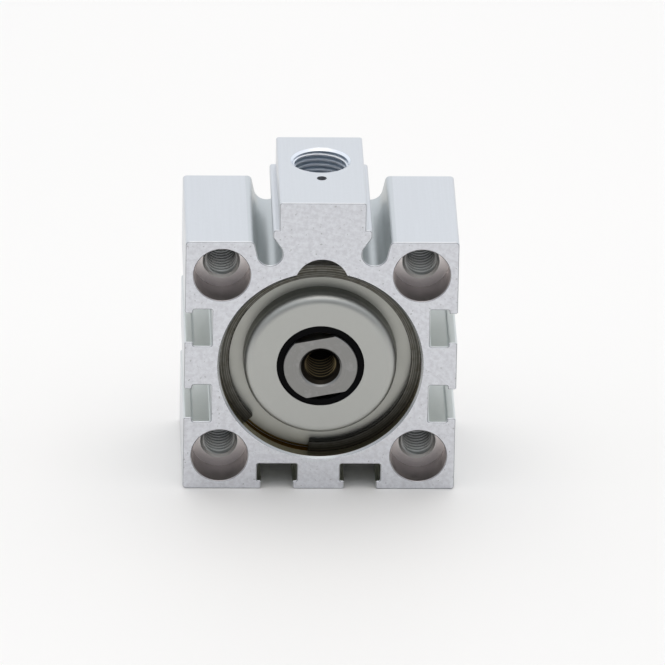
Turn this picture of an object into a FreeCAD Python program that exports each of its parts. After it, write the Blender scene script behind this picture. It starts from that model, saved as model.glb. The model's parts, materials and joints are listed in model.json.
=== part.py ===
import FreeCAD, Part
import math
import os

import Sketcher

# Short-stroke pneumatic cylinder, single acting with a return spring, 32 mm bore and 5 mm stroke.
# Frame in millimetres: the rod axis is Y, the front mounting face is y = 0, the rod comes out
# towards -Y, and the air port points up, +Z. The rod is drawn in, as it rests.

# Driving sizes, all in millimetres or degrees
SIZES = {
    # barrel: an extruded profile with a blind bore
    "bore": 32.0,
    "wall": 6.25,
    "rear_wall": 2.63,
    "corner_round": 0.65,
    "pillar_round": 0.8,
    "block_width": 14.1,
    "block_rise": 6.95,
    "block_round": 0.4,
    "rib_proud": 1.0,
    "rib_rise": 2.1,
    "rib_foot": 0.7,
    "rib_round": 0.5,
    "sensor_slot_gap": 1.45,
    "sensor_slot_drop": 2.2,
    "sensor_slot_radius": 2.05,
    "sensor_slot_lead": 45.0,
    "sensor_slot_mouth": 3.05,
    "slot_offset": 6.8,
    "slot_mouth": 5.2,
    "slot_undercut": 0.7,
    "slot_lip": 1.4,
    "slot_floor": 1.75,
    "slot_round": 0.3,
    "lip_round": 0.2,
    "lip_edge_round": 0.35,
    "hole_inset": 6.0,
    "hole_diameter": 6.0,
    "hole_chamfer": 0.05,
    "counterbore_diameter": 9.2,
    "counterbore_depth": 5.65,
    "seat_step": 0.5,
    "mouth_chamfer": 0.33,
    "edge_break": 0.15,
    "notch_radius": 4.39,
    "notch_drop": 1.25,
    "port_from_rear": 9.05,
    "port_diameter": 9.73,
    "port_depth": 8.0,
    "port_chamfer": 0.1,
    "passage_diameter": 2.0,
    "passage_tilt": 30.0,
    "passage_offset": 2.0,
    "vent_gap": 1.07,
    "vent_diameter": 1.6,
    # retaining ring in its groove in front of the bearing cap
    "ring_setback": 2.2,
    "ring_thickness": 1.5,
    "ring_play": 0.03,
    "ring_reach": 1.64,
    "ring_round": 0.3,
    "ring_clearance": 0.1,
    "ring_groove_depth": 0.85,
    "ring_gap_angle": 41.0,
    "ring_gap_start": 186.0,
    # bearing cap with its seal
    "rim_thickness": 3.1,
    "spigot_length": 1.8,
    "cap_clearance": 0.02,
    "spigot_clearance": 0.05,
    "boss_gap": 2.3,
    "boss_draft": 0.18,
    "boss_setback": 0.05,
    "boss_round": 1.5,
    "cap_inner_wall": 1.8,
    "cap_floor": 0.3,
    "cap_seal_section": 1.3,
    "cap_seal_room": 0.4,
    # bush and wiper around the rod
    "bush_wall": 1.0,
    "wiper_wall": 1.15,
    "wiper_depth": 2.5,
    "wiper_stand": 0.05,
    "wiper_lip": 0.25,
    # cushion rings and stroke
    "stroke": 5.0,
    "stop_play": 0.02,
    "cushion_width": 2.4,
    "cushion_gap": 0.4,
    "front_cushion_stand": 0.9,
    "rear_cushion_stand": 0.8,
    "cushion_seat": 0.6,
    # piston and what rides on it
    "piston_length": 7.9,
    "piston_clearance": 0.1,
    "piston_edge": 0.4,
    "skirt_relief": 0.6,
    "land": 0.35,
    "magnet_setback": 0.35,
    "magnet_length": 1.35,
    "magnet_wall": 2.8,
    "magnet_recess": 0.7,
    "guide_width": 1.4,
    "guide_thickness": 1.4,
    "guide_slit_angle": 4.0,
    "seal_width": 2.0,
    "seal_height": 3.35,
    "seal_lip": 0.55,
    "running_gap": 0.03,
    "groove_play": 0.05,
    # rod
    "rod_diameter": 12.0,
    "rod_proud": 0.6,
    "rod_edge": 0.1,
    "flat_across": 10.0,
    "flat_length": 4.5,
    "flat_turn": 11.0,
    "rod_thread_diameter": 6.0,
    "rod_thread_depth": 9.0,
    "rod_thread_chamfer": 0.5,
    "rod_spigot_diameter": 8.0,
    "rod_spigot_length": 4.85,
    "hub_recess": 0.4,
    "rod_seal_section": 1.2,
    "rod_seal_setback": 2.65,
    # piston screw
    "screw_diameter": 5.0,
    "screw_head_diameter": 9.2,
    "screw_sink": 0.2,
    "screw_grip": 5.5,
    "screw_hole_spare": 1.5,
    "screw_socket": 3.0,
    "screw_socket_depth": 1.5,
    "screw_clearance": 0.25,
    # return spring
    "spring_wire": 1.4,
    "spring_wire_height": 1.2,
    "spring_coils": 4.5,
    "spring_clearance": 0.3,
    "piston_spring_depth": 3.45,
    # close fits between pieces that don't move on each other
    "seat_fit": 0.01,
    "drill_point": 118.0,
}

doc = FreeCAD.newDocument("short_stroke_cylinder")
sheet = doc.addObject("Spreadsheet::Sheet", "sizes")
for row, (alias, number) in enumerate(SIZES.items(), start=1):
    sheet.set(f"A{row}", alias)
    sheet.set(f"B{row}", str(number))
    sheet.setAlias(f"B{row}", alias)
doc.recompute()

# Places worked out from the sizes: distances from the axis
bore_r = "(sizes.bore / 2)"
half_width = f"({bore_r} + sizes.wall)"
seat_r = f"({bore_r} + sizes.seat_step)"
groove_r = f"({seat_r} + sizes.ring_groove_depth)"
ring_inner_r = f"({seat_r} - sizes.ring_reach)"
boss_r = f"({ring_inner_r} - sizes.boss_gap)"
rod_r = "(sizes.rod_diameter / 2)"
bush_r = f"({rod_r} + sizes.bush_wall)"
wiper_r = f"({rod_r} + sizes.wiper_wall)"
spring_pocket_inner_r = f"({bush_r} + sizes.cap_inner_wall)"
spring_r = f"({spring_pocket_inner_r} + sizes.spring_clearance + sizes.spring_wire / 2)"
spring_pocket_outer_r = f"({spring_r} + sizes.spring_wire / 2 + sizes.spring_clearance)"
cushion_inner_r = f"({spring_pocket_outer_r} + sizes.cushion_gap)"
cushion_outer_r = f"({cushion_inner_r} + sizes.cushion_width)"
cap_seal_inner_r = f"({seat_r} - sizes.cap_seal_section - 2 * sizes.seat_fit)"
piston_r = f"({bore_r} - sizes.piston_clearance)"
skirt_r = f"({piston_r} - sizes.skirt_relief)"
magnet_outer_r = f"({bore_r} - sizes.magnet_recess)"
magnet_inner_r = f"({magnet_outer_r} - sizes.magnet_wall)"
guide_inner_r = f"({bore_r} - sizes.running_gap - sizes.guide_thickness)"
seal_inner_r = f"({bore_r} - sizes.running_gap - sizes.seal_height)"
rod_spigot_r = "(sizes.rod_spigot_diameter / 2)"
screw_r = "(sizes.screw_diameter / 2)"
screw_head_r = "(sizes.screw_head_diameter / 2)"

# Places worked out from the sizes: distances behind the front face
ring_back = "(sizes.ring_setback + sizes.ring_thickness)"
cap_front = f"({ring_back} + sizes.ring_play)"
seat_depth = f"({cap_front} + sizes.rim_thickness)"
cap_rear = f"({seat_depth} + sizes.spigot_length)"
wiper_back = "(sizes.boss_setback + sizes.wiper_depth)"
spring_front = f"({cap_front} + sizes.cap_floor)"
front_stop = f"({cap_rear} + sizes.front_cushion_stand)"
piston_front = f"({front_stop} + sizes.stop_play + sizes.stroke)"
piston_rear = f"({piston_front} + sizes.piston_length)"
rear_stop = f"({piston_rear} + sizes.stop_play)"
bore_end = f"({rear_stop} + sizes.rear_cushion_stand)"
body_length = f"({bore_end} + sizes.rear_wall)"
spring_back = f"({piston_front} + sizes.piston_spring_depth)"
magnet_front = f"({piston_front} + sizes.magnet_setback)"
magnet_back = f"({magnet_front} + sizes.magnet_length)"
guide_groove = f"({magnet_back} + sizes.land)"
guide_groove_end = f"({guide_groove} + sizes.guide_width + 2 * sizes.groove_play)"
seal_groove = f"({guide_groove_end} + sizes.land)"
seal_groove_end = f"({seal_groove} + sizes.seal_width + 2 * sizes.groove_play)"
rod_shoulder = f"({piston_front} + sizes.hub_recess)"
rod_end = f"({rod_shoulder} + sizes.rod_spigot_length)"
rod_seal_middle = f"({rod_shoulder} + sizes.rod_seal_setback)"
screw_head_end = f"({piston_rear} - sizes.screw_sink)"
screw_neck = f"({screw_head_end} - {screw_head_r} + {screw_r})"
screw_tip = f"({rod_end} - sizes.screw_grip)"
port_setback = f"({body_length} - sizes.port_from_rear)"
vent_setback = f"({cap_rear} + sizes.vent_gap)"

# Places worked out from the sizes: heights and offsets of the extruded profile
block_top = f"({half_width} + sizes.block_rise)"
block_side = "(sizes.block_width / 2)"
rib_side = f"({block_side} + sizes.rib_proud)"
rib_top = f"({half_width} + sizes.rib_rise)"
rib_foot = f"({half_width} + sizes.rib_foot)"
sensor_slot_x = f"({block_side} + sizes.sensor_slot_gap)"
sensor_slot_z = f"({half_width} - sizes.sensor_slot_drop)"
sensor_slot_edge = f"({rib_side} + sizes.sensor_slot_mouth)"
sensor_lead_x = f"({sensor_slot_x} - sizes.sensor_slot_radius * cos(sizes.sensor_slot_lead))"
sensor_lead_z = f"({sensor_slot_z} + sizes.sensor_slot_radius * sin(sizes.sensor_slot_lead))"
slot_bottom = f"({bore_r} + sizes.slot_floor)"
slot_shelf = f"({half_width} - sizes.slot_lip)"
hole_place = f"({half_width} - sizes.hole_inset)"
port_floor = f"({block_top} - sizes.port_depth)"


def value(expression):
    """The number that an expression on the sheet gives now."""
    return float(sheet.evalExpression(expression.replace("sizes.", "")))


def cone_depth(radius):
    """The depth of a drill's point of this radius."""
    return f"({radius} / tan(sizes.drill_point / 2))"


def new_body(name):
    """A body whose label names its piece."""
    body = doc.addObject("PartDesign::Body", name)
    body.Label = name
    return body


def origin_feature(body, role):
    """One of a body's own origin planes or axes."""
    return next(item for item in body.Origin.OriginFeatures if item.Role == role)


def new_sketch(body, name, role, offset=("0", "0", "0")):
    """A sketch on an origin plane, moved in the sketch's own directions by sheet expressions."""
    sketch = body.newObject("Sketcher::SketchObject", name)
    sketch.AttachmentSupport = [(origin_feature(body, role), "")]
    sketch.MapMode = "FlatFace"
    for direction, expression in zip("xyz", offset):
        if expression != "0":
            sketch.setExpression(f"AttachmentOffset.Base.{direction}", expression)
    return sketch


def bind(sketch, constraint, expression):
    """Add a constraint whose number follows the sheet."""
    index = sketch.addConstraint(constraint)
    sketch.setExpression(f"Constraints[{index}]", expression)


def place_point(sketch, geometry, point, across, up):
    """Fix a point of a sketch at two sheet expressions; "0" keeps it on the sketch's axis."""
    for kind, axis, expression in (("DistanceX", -2, across), ("DistanceY", -1, up)):
        if expression == "0":
            sketch.addConstraint(Sketcher.Constraint("PointOnObject", geometry, point, axis))
        else:
            constraint = Sketcher.Constraint(kind, -1, 1, geometry, point, value(expression))
            bind(sketch, constraint, expression)


def rounded_corner(before, corner, after, radius):
    """The arc that rounds a corner, where the edges meet it, and whether it runs counterclockwise."""
    inward = (before - corner).normalize()
    outward = (after - corner).normalize()
    half_angle = inward.getAngle(outward) / 2
    reach = radius / math.tan(half_angle)
    bisector = (inward + outward).normalize()
    centre = corner + bisector * (radius / math.sin(half_angle))
    arrive = corner + inward * reach
    leave = corner + outward * reach
    counterclockwise = inward.cross(outward).z < 0
    first, last = (arrive, leave) if counterclockwise else (leave, arrive)
    start_angle = math.atan2(first.y - centre.y, first.x - centre.x)
    end_angle = math.atan2(last.y - centre.y, last.x - centre.x)
    circle = Part.Circle(centre, FreeCAD.Vector(0, 0, 1), radius)
    return Part.ArcOfCircle(circle, start_angle, end_angle), arrive, leave, counterclockwise


def outline(sketch, corners):
    """Draw a closed outline. A corner is (across, up) or (across, up, round), as sheet expressions."""
    points = [FreeCAD.Vector(value(corner[0]), value(corner[1]), 0) for corner in corners]
    count = len(points)
    arrivals, leavings, arcs = list(points), list(points), {}
    for i, corner in enumerate(corners):
        if len(corner) == 3:
            arcs[i] = rounded_corner(points[i - 1], points[i], points[(i + 1) % count], value(corner[2]))
            arrivals[i], leavings[i] = arcs[i][1], arcs[i][2]
    first = sketch.GeometryCount
    for i in range(count):
        sketch.addGeometry(Part.LineSegment(leavings[i], arrivals[(i + 1) % count]), False)
    for i, corner in enumerate(corners):
        line_in, line_out = first + (i - 1) % count, first + i
        if i not in arcs:
            sketch.addConstraint(Sketcher.Constraint("Coincident", line_in, 2, line_out, 1))
            place_point(sketch, line_out, 1, corner[0], corner[1])
            continue
        arc = sketch.addGeometry(arcs[i][0], False)
        arc_start, arc_end = (1, 2) if arcs[i][3] else (2, 1)
        sharp = sketch.addGeometry(Part.Point(points[i]), True)
        sketch.addConstraint(Sketcher.Constraint("Tangent", line_in, 2, arc, arc_start))
        sketch.addConstraint(Sketcher.Constraint("Tangent", arc, arc_end, line_out, 1))
        sketch.addConstraint(Sketcher.Constraint("PointOnObject", sharp, 1, line_in))
        sketch.addConstraint(Sketcher.Constraint("PointOnObject", sharp, 1, line_out))
        place_point(sketch, sharp, 1, corner[0], corner[1])
        bind(sketch, Sketcher.Constraint("Radius", arc, arcs[i][0].Radius), corner[2])


def circle_at(sketch, across, up, radius):
    """Draw a circle whose centre and radius are sheet expressions."""
    centre = FreeCAD.Vector(value(across), value(up), 0)
    circle = sketch.addGeometry(Part.Circle(centre, FreeCAD.Vector(0, 0, 1), value(radius)), False)
    place_point(sketch, circle, 3, across, up)
    bind(sketch, Sketcher.Constraint("Radius", circle, value(radius)), radius)


def pad(body, sketch, name, length, reverse=False):
    """Extrude a sketch."""
    feature = body.newObject("PartDesign::Pad", name)
    feature.Profile = sketch
    feature.Reversed = reverse
    feature.setExpression("Length", length)
    return feature


def pocket(body, sketch, name, length=None):
    """Cut a sketch into the body, right through where no length is given."""
    feature = body.newObject("PartDesign::Pocket", name)
    feature.Profile = sketch
    if length is None:
        feature.Type = "ThroughAll"
    else:
        feature.setExpression("Length", length)
    return feature


def turn(body, sketch, name, kind="PartDesign::Revolution", axis="H_Axis", angle=None):
    """Revolve a sketch about one of its own axes, all the way round where no angle is given."""
    feature = body.newObject(kind, name)
    feature.Profile = sketch
    feature.ReferenceAxis = (sketch, [axis])
    feature.Angle = 360
    if angle is not None:
        feature.setExpression("Angle", angle)
    return feature


def turned_body(name, corners, angle=None):
    """A body turned about the rod axis from corners given as (behind the front face, from the axis)."""
    body = new_body(name)
    sketch = new_sketch(body, f"{name}_profile", "YZ_Plane")
    outline(sketch, corners)
    turn(body, sketch, f"{name}_turned", angle=angle)
    return body


def round_about_axis(body, feature, name, angle, count):
    """Repeat a feature about the rod axis."""
    pattern = body.newObject("PartDesign::PolarPattern", name)
    pattern.Originals = [feature]
    pattern.Axis = (origin_feature(body, "Y_Axis"), [""])
    pattern.Angle = angle
    pattern.Occurrences = count
    body.Tip = pattern
    return pattern


def long_edges(shape, places):
    """The names of the straight edges along Y at these (x, z) places."""
    names = []
    for number, edge in enumerate(shape.Edges, start=1):
        start, end = edge.Vertexes[0].Point, edge.Vertexes[-1].Point
        if abs(start.x - end.x) + abs(start.z - end.z) > 1e-6:
            continue
        if any(math.hypot(start.x - x, start.z - z) < 1e-4 for x, z in places):
            names.append(f"Edge{number}")
    return names


def round_edges(body, name, places, radius):
    """Fillet the long edges of the profile at these (x, z) places."""
    doc.recompute()
    base = body.Tip
    feature = body.newObject("PartDesign::Fillet", name)
    feature.Base = (base, long_edges(base.Shape, places))
    feature.setExpression("Radius", radius)


def end_face_edges(shape, behind):
    """The names of the edges around an end face and its corner holes, but not around its bore."""
    wires = []
    for face in shape.Faces:
        middle = face.CenterOfMass
        if face.Surface.TypeId == "Part::GeomPlane" and abs(middle.y - behind) < 1e-6:
            holes = [wire for wire in face.Wires if not wire.isSame(face.OuterWire)]
            wires += [face.OuterWire] + [wire for wire in holes if abs(wire.CenterOfMass.x) > value(rod_r)]
    rims = [edge for wire in wires for edge in wire.Edges]
    return [f"Edge{number}" for number, edge in enumerate(shape.Edges, start=1)
            if any(edge.isSame(rim) for rim in rims)]


def break_end_edges(body, name, ends, size):
    """Chamfer the edges of the end faces at these distances behind the front."""
    doc.recompute()
    base = body.Tip
    feature = body.newObject("PartDesign::Chamfer", name)
    feature.Base = (base, [edge for behind in ends for edge in end_face_edges(base.Shape, behind)])
    feature.setExpression("Size", size)


def negative(expression):
    """The same size on the other side of the axis."""
    return f"-{expression}"


def mounting_slot_corners(centre):
    """The T section of one slot, open towards +X, about its centre height."""
    half_mouth, half_pocket = "sizes.slot_mouth / 2", "(sizes.slot_mouth / 2 + sizes.slot_undercut)"
    return [
        (half_width, f"{centre} - {half_mouth}"),
        (half_width, f"{centre} + {half_mouth}"),
        (slot_shelf, f"{centre} + {half_mouth}", "sizes.lip_round"),
        (slot_shelf, f"{centre} + {half_pocket}", "sizes.slot_round"),
        (slot_bottom, f"{centre} + {half_pocket}", "sizes.slot_round"),
        (slot_bottom, f"{centre} - {half_pocket}", "sizes.slot_round"),
        (slot_shelf, f"{centre} - {half_pocket}", "sizes.slot_round"),
        (slot_shelf, f"{centre} - {half_mouth}", "sizes.lip_round"),
    ]


def draw_sensor_slot(sketch):
    """The keyhole section of the sensor slot on the right of the port block."""
    centre = FreeCAD.Vector(value(sensor_slot_x), value(sensor_slot_z), 0)
    edge = FreeCAD.Vector(value(sensor_slot_edge), value(half_width), 0)
    edge_above = FreeCAD.Vector(value(sensor_slot_edge), value(rib_foot), 0)
    rib = FreeCAD.Vector(value(rib_side), value(rib_foot), 0)
    lead = FreeCAD.Vector(value(sensor_lead_x), value(sensor_lead_z), 0)
    radius = value("sizes.sensor_slot_radius")
    towards_edge = edge - centre
    touch_angle = math.atan2(towards_edge.y, towards_edge.x) - math.acos(radius / towards_edge.Length)
    touch = centre + FreeCAD.Vector(math.cos(touch_angle), math.sin(touch_angle), 0) * radius
    lead_angle = math.atan2(lead.y - centre.y, lead.x - centre.x)
    circle = Part.Circle(centre, FreeCAD.Vector(0, 0, 1), radius)
    upright = sketch.addGeometry(Part.LineSegment(edge_above, edge), False)
    slant = sketch.addGeometry(Part.LineSegment(edge, touch), False)
    bulb = sketch.addGeometry(Part.ArcOfCircle(circle, lead_angle, touch_angle + 2 * math.pi), False)
    lead_in = sketch.addGeometry(Part.LineSegment(lead, rib), False)
    across = sketch.addGeometry(Part.LineSegment(rib, edge_above), False)
    sketch.addConstraint(Sketcher.Constraint("Coincident", upright, 2, slant, 1))
    sketch.addConstraint(Sketcher.Constraint("Tangent", slant, 2, bulb, 2))
    sketch.addConstraint(Sketcher.Constraint("Coincident", bulb, 1, lead_in, 1))
    sketch.addConstraint(Sketcher.Constraint("Coincident", lead_in, 2, across, 1))
    sketch.addConstraint(Sketcher.Constraint("Coincident", across, 2, upright, 1))
    place_point(sketch, upright, 1, sensor_slot_edge, rib_foot)
    place_point(sketch, slant, 1, sensor_slot_edge, half_width)
    place_point(sketch, bulb, 3, sensor_slot_x, sensor_slot_z)
    bind(sketch, Sketcher.Constraint("Radius", bulb, radius), "sizes.sensor_slot_radius")
    place_point(sketch, across, 1, rib_side, rib_foot)
    bind(sketch, Sketcher.Constraint("DistanceX", -1, 1, lead_in, 1, lead.x), sensor_lead_x)


def extrude_profile(body):
    """The barrel's extruded profile: square, port block, sensor slots and side slots."""
    square = new_sketch(body, "square_section", "XZ_Plane")
    low = negative(half_width)
    outline(square, [(x, z, "sizes.corner_round") for x, z in
                     ((low, low), (half_width, low), (half_width, half_width), (low, half_width))])
    pad(body, square, "square", body_length, reverse=True)

    block = new_sketch(body, "port_block_section", "XZ_Plane")
    right_side = [
        (sensor_lead_x, sensor_lead_z),
        (rib_side, rib_foot),
        (rib_side, rib_top, "sizes.rib_round"),
        (block_side, rib_top),
        (block_side, block_top, "sizes.block_round"),
    ]
    left_side = [(negative(corner[0]), *corner[1:]) for corner in reversed(right_side)]
    outline(block, right_side + left_side)
    pad(body, block, "port_block", body_length, reverse=True)

    keyhole = new_sketch(body, "sensor_slot_section", "XZ_Plane")
    draw_sensor_slot(keyhole)
    sensor_slot = pocket(body, keyhole, "sensor_slot")
    mirrored = body.newObject("PartDesign::Mirrored", "sensor_slots")
    mirrored.Originals = [sensor_slot]
    mirrored.MirrorPlane = (origin_feature(body, "YZ_Plane"), [""])
    body.Tip = mirrored

    # The pair of slots is drawn on the right flank and turned to the underside and the left flank
    slots = new_sketch(body, "flank_slot_section", "XZ_Plane")
    for centre in ("sizes.slot_offset", "-sizes.slot_offset"):
        outline(slots, mounting_slot_corners(centre))
    flank_slots = pocket(body, slots, "flank_slots")
    round_about_axis(body, flank_slots, "mounting_slots", 180, 3)


def make_barrel():
    """The extruded profile with its machined bore, holes, notch, port and vent."""
    body = new_body("barrel")
    extrude_profile(body)

    offset, half_mouth, side = value("sizes.slot_offset"), value("sizes.slot_mouth / 2"), value(half_width)
    edge_x = value(sensor_slot_edge)
    across = [sign * offset + way * half_mouth for sign in (-1, 1) for way in (-1, 1)]
    lips = [(x, -side) for x in across] + [(sign * side, z) for sign in (-1, 1) for z in across]
    round_edges(body, "slot_lips", lips, "sizes.lip_edge_round")
    round_edges(body, "pillar_edges", [(edge_x, side), (-edge_x, side)], "sizes.pillar_round")

    bore = new_sketch(body, "bore_profile", "YZ_Plane")
    groove_front, groove_back = "(sizes.ring_setback - sizes.ring_play)", cap_front
    outline(bore, [
        ("0", "0"),
        ("0", f"{seat_r} + sizes.mouth_chamfer"),
        ("sizes.mouth_chamfer", seat_r),
        (groove_front, seat_r),
        (groove_front, groove_r),
        (groove_back, groove_r),
        (groove_back, seat_r),
        (seat_depth, seat_r),
        (seat_depth, bore_r),
        (bore_end, bore_r),
        (bore_end, f"{cushion_outer_r} + sizes.seat_fit"),
        (f"{bore_end} + sizes.cushion_seat", f"{cushion_outer_r} + sizes.seat_fit"),
        (f"{bore_end} + sizes.cushion_seat", f"{cushion_inner_r} - sizes.seat_fit"),
        (bore_end, f"{cushion_inner_r} - sizes.seat_fit"),
        (bore_end, "0"),
    ])
    turn(body, bore, "stepped_bore", kind="PartDesign::Groove")

    notch = new_sketch(body, "notch_section", "XZ_Plane")
    circle_at(notch, "0", f"{bore_r} - sizes.notch_drop", "sizes.notch_radius")
    pocket(body, notch, "ring_notch", cap_front)

    # One corner hole is turned about its own axis, then repeated at the four corners
    hole = new_sketch(body, "corner_hole_profile", "YZ_Plane", ("0", hole_place, hole_place))
    hole_r, counterbore_r = "sizes.hole_diameter / 2", "sizes.counterbore_diameter / 2"
    front_seat, rear_seat = "sizes.counterbore_depth", f"{body_length} - sizes.counterbore_depth"
    outline(hole, [
        ("0", "0"),
        ("0", counterbore_r),
        (front_seat, counterbore_r),
        (front_seat, f"{hole_r} + sizes.hole_chamfer"),
        (f"{front_seat} + sizes.hole_chamfer", hole_r),
        (f"{rear_seat} - sizes.hole_chamfer", hole_r),
        (rear_seat, f"{hole_r} + sizes.hole_chamfer"),
        (rear_seat, counterbore_r),
        (body_length, counterbore_r),
        (body_length, "0"),
    ])
    corner_hole = turn(body, hole, "corner_hole", kind="PartDesign::Groove")
    round_about_axis(body, corner_hole, "corner_holes", 360, 4)

    port = new_sketch(body, "port_profile", "YZ_Plane", (port_setback, block_top, "0"))
    port_r = "sizes.port_diameter / 2"
    outline(port, [
        ("0", "0"),
        (f"{port_r} + sizes.port_chamfer", "0"),
        (port_r, "-sizes.port_chamfer"),
        (port_r, "-sizes.port_depth"),
        ("0", "-sizes.port_depth"),
    ])
    turn(body, port, "air_port", kind="PartDesign::Groove", axis="V_Axis")

    # The passage leans back from the port's floor to the chamber behind the piston
    passage = new_sketch(body, "passage_section", "XY_Plane")
    tilt = FreeCAD.Rotation(FreeCAD.Vector(1, 0, 0), value("sizes.passage_tilt"))
    passage.AttachmentOffset = FreeCAD.Placement(FreeCAD.Vector(), tilt)
    passage.setExpression("AttachmentOffset.Rotation.Angle", "sizes.passage_tilt")
    start_up = f"({port_floor} + sizes.passage_diameter * cos(sizes.passage_tilt))"
    start_back = (f"({port_setback} + sizes.passage_offset"
                  " - sizes.passage_diameter * sin(sizes.passage_tilt))")
    passage.setExpression("AttachmentOffset.Base.y", start_back)
    passage.setExpression("AttachmentOffset.Base.z", start_up)
    circle_at(passage, "0", "0", "sizes.passage_diameter / 2")
    drop = f"({port_floor} - {bore_r} + sizes.passage_diameter) / cos(sizes.passage_tilt)"
    pocket(body, passage, "passage", f"{drop} + sizes.passage_diameter")

    vent = new_sketch(body, "vent_section", "XY_Plane", ("0", "0", block_top))
    circle_at(vent, "0", vent_setback, "sizes.vent_diameter / 2")
    pocket(body, vent, "vent", f"{block_top} - {bore_r} + sizes.vent_diameter")
    break_end_edges(body, "broken_edges", (0, value(body_length)), "sizes.edge_break")


def make_retaining_ring():
    """The flat spring ring, open where its ends stand apart."""
    outer_r = f"({groove_r} - sizes.ring_clearance)"
    body = turned_body("retaining_ring", [
        ("sizes.ring_setback", ring_inner_r, "sizes.ring_round"),
        (ring_back, ring_inner_r, "sizes.ring_round"),
        (ring_back, outer_r, "sizes.ring_round"),
        ("sizes.ring_setback", outer_r, "sizes.ring_round"),
    ], angle="360 - sizes.ring_gap_angle")
    start = "sizes.ring_gap_start + sizes.ring_gap_angle"
    body.Placement = FreeCAD.Placement(
        FreeCAD.Vector(), FreeCAD.Rotation(FreeCAD.Vector(0, 1, 0), value(start)))
    body.setExpression("Placement.Rotation.Angle", start)


def make_bearing_cap():
    """The turned front cap: wiper pocket, bush seat, seal groove, spring pocket and cushion seat."""
    rim_r = f"({seat_r} - sizes.cap_clearance)"
    seal_front = f"({cap_front} + (sizes.rim_thickness - sizes.cap_seal_section - sizes.cap_seal_room) / 2)"
    seal_back = f"({seal_front} + sizes.cap_seal_section + sizes.cap_seal_room)"
    spigot_r = f"({bore_r} - sizes.spigot_clearance)"
    cushion_floor = f"({cap_rear} - sizes.cushion_seat)"
    turned_body("bearing_cap", [
        ("sizes.boss_setback", f"{wiper_r} + sizes.seat_fit"),
        ("sizes.boss_setback", f"{boss_r} - sizes.boss_draft", "sizes.boss_round"),
        (cap_front, boss_r),
        (cap_front, rim_r),
        (seal_front, rim_r),
        (seal_front, cap_seal_inner_r),
        (seal_back, cap_seal_inner_r),
        (seal_back, rim_r),
        (seat_depth, rim_r),
        (seat_depth, spigot_r),
        (cap_rear, spigot_r),
        (cap_rear, f"{cushion_outer_r} + sizes.seat_fit"),
        (cushion_floor, f"{cushion_outer_r} + sizes.seat_fit"),
        (cushion_floor, f"{cushion_inner_r} - sizes.seat_fit"),
        (cap_rear, f"{cushion_inner_r} - sizes.seat_fit"),
        (cap_rear, spring_pocket_outer_r),
        (spring_front, spring_pocket_outer_r),
        (spring_front, spring_pocket_inner_r),
        (cap_rear, spring_pocket_inner_r),
        (cap_rear, f"{bush_r} + sizes.seat_fit"),
        (wiper_back, f"{bush_r} + sizes.seat_fit"),
        (wiper_back, f"{wiper_r} + sizes.seat_fit"),
    ])


def make_o_ring(name, middle, inner_r, section):
    """A round-section ring lying in its groove."""
    body = new_body(name)
    sketch = new_sketch(body, f"{name}_section", "YZ_Plane")
    circle_at(sketch, middle, f"{inner_r} + {section} / 2", f"{section} / 2")
    turn(body, sketch, f"{name}_turned")


def make_cap_pieces():
    """The pieces held by the cap: seal, bush, wiper and front cushion ring."""
    seal_middle = f"({cap_front} + sizes.rim_thickness / 2)"
    make_o_ring("cap_o_ring", seal_middle, f"({cap_seal_inner_r} + sizes.seat_fit)", "sizes.cap_seal_section")

    bush_inner_r = f"({rod_r} + sizes.running_gap)"
    turned_body("rod_bush", [
        (f"{wiper_back} + sizes.seat_fit", bush_inner_r),
        (f"{wiper_back} + sizes.seat_fit", bush_r),
        (cap_rear, bush_r),
        (cap_rear, bush_inner_r),
    ])

    wiper_front = "(sizes.boss_setback - sizes.wiper_stand)"
    heel_r = f"({bush_inner_r} + sizes.wiper_lip)"
    turned_body("rod_wiper", [
        (wiper_front, bush_inner_r),
        (wiper_front, f"{wiper_r} - sizes.wiper_lip"),
        (f"{wiper_front} + sizes.wiper_lip", wiper_r),
        (wiper_back, wiper_r),
        (wiper_back, heel_r),
        (f"{wiper_front} + 4 * sizes.wiper_lip", heel_r),
        (f"{wiper_front} + 3 * sizes.wiper_lip", bush_inner_r),
    ])


def make_cushion_ring(name, stop, seat):
    """A square-section cushion ring from its striking face to the floor of its seat."""
    turned_body(name, [
        (stop, cushion_inner_r),
        (seat, cushion_inner_r),
        (seat, cushion_outer_r),
        (stop, cushion_outer_r),
    ])


def make_return_spring():
    """The flat-wire coil spring between the cap and the piston, with its ends ground flat."""
    body = new_body("return_spring")
    front, back = f"({spring_front} + sizes.stop_play)", f"({spring_back} - sizes.stop_play)"
    wire = new_sketch(body, "spring_wire_section", "YZ_Plane")
    inside, outside = f"({spring_r} - sizes.spring_wire / 2)", f"({spring_r} + sizes.spring_wire / 2)"
    near, far = f"({front} - sizes.spring_wire_height / 2)", f"({front} + sizes.spring_wire_height / 2)"
    outline(wire, [(near, inside), (far, inside), (far, outside), (near, outside)])
    coil = body.newObject("PartDesign::AdditiveHelix", "coil")
    coil.Profile = wire
    coil.ReferenceAxis = (wire, ["H_Axis"])
    coil.Mode = "height-turns-angle"
    coil.setExpression("Height", f"{back} - {front}")
    coil.setExpression("Turns", "sizes.spring_coils")
    inner, outer = spring_pocket_inner_r, spring_pocket_outer_r
    for name, ground, spare in (
        ("front_end", front, f"({front} - sizes.spring_wire)"),
        ("rear_end", back, f"({back} + sizes.spring_wire)"),
    ):
        end = new_sketch(body, f"{name}_section", "YZ_Plane")
        outline(end, [(ground, inner), (ground, outer), (spare, outer), (spare, inner)])
        turn(body, end, f"{name}_ground", kind="PartDesign::Groove")


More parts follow.
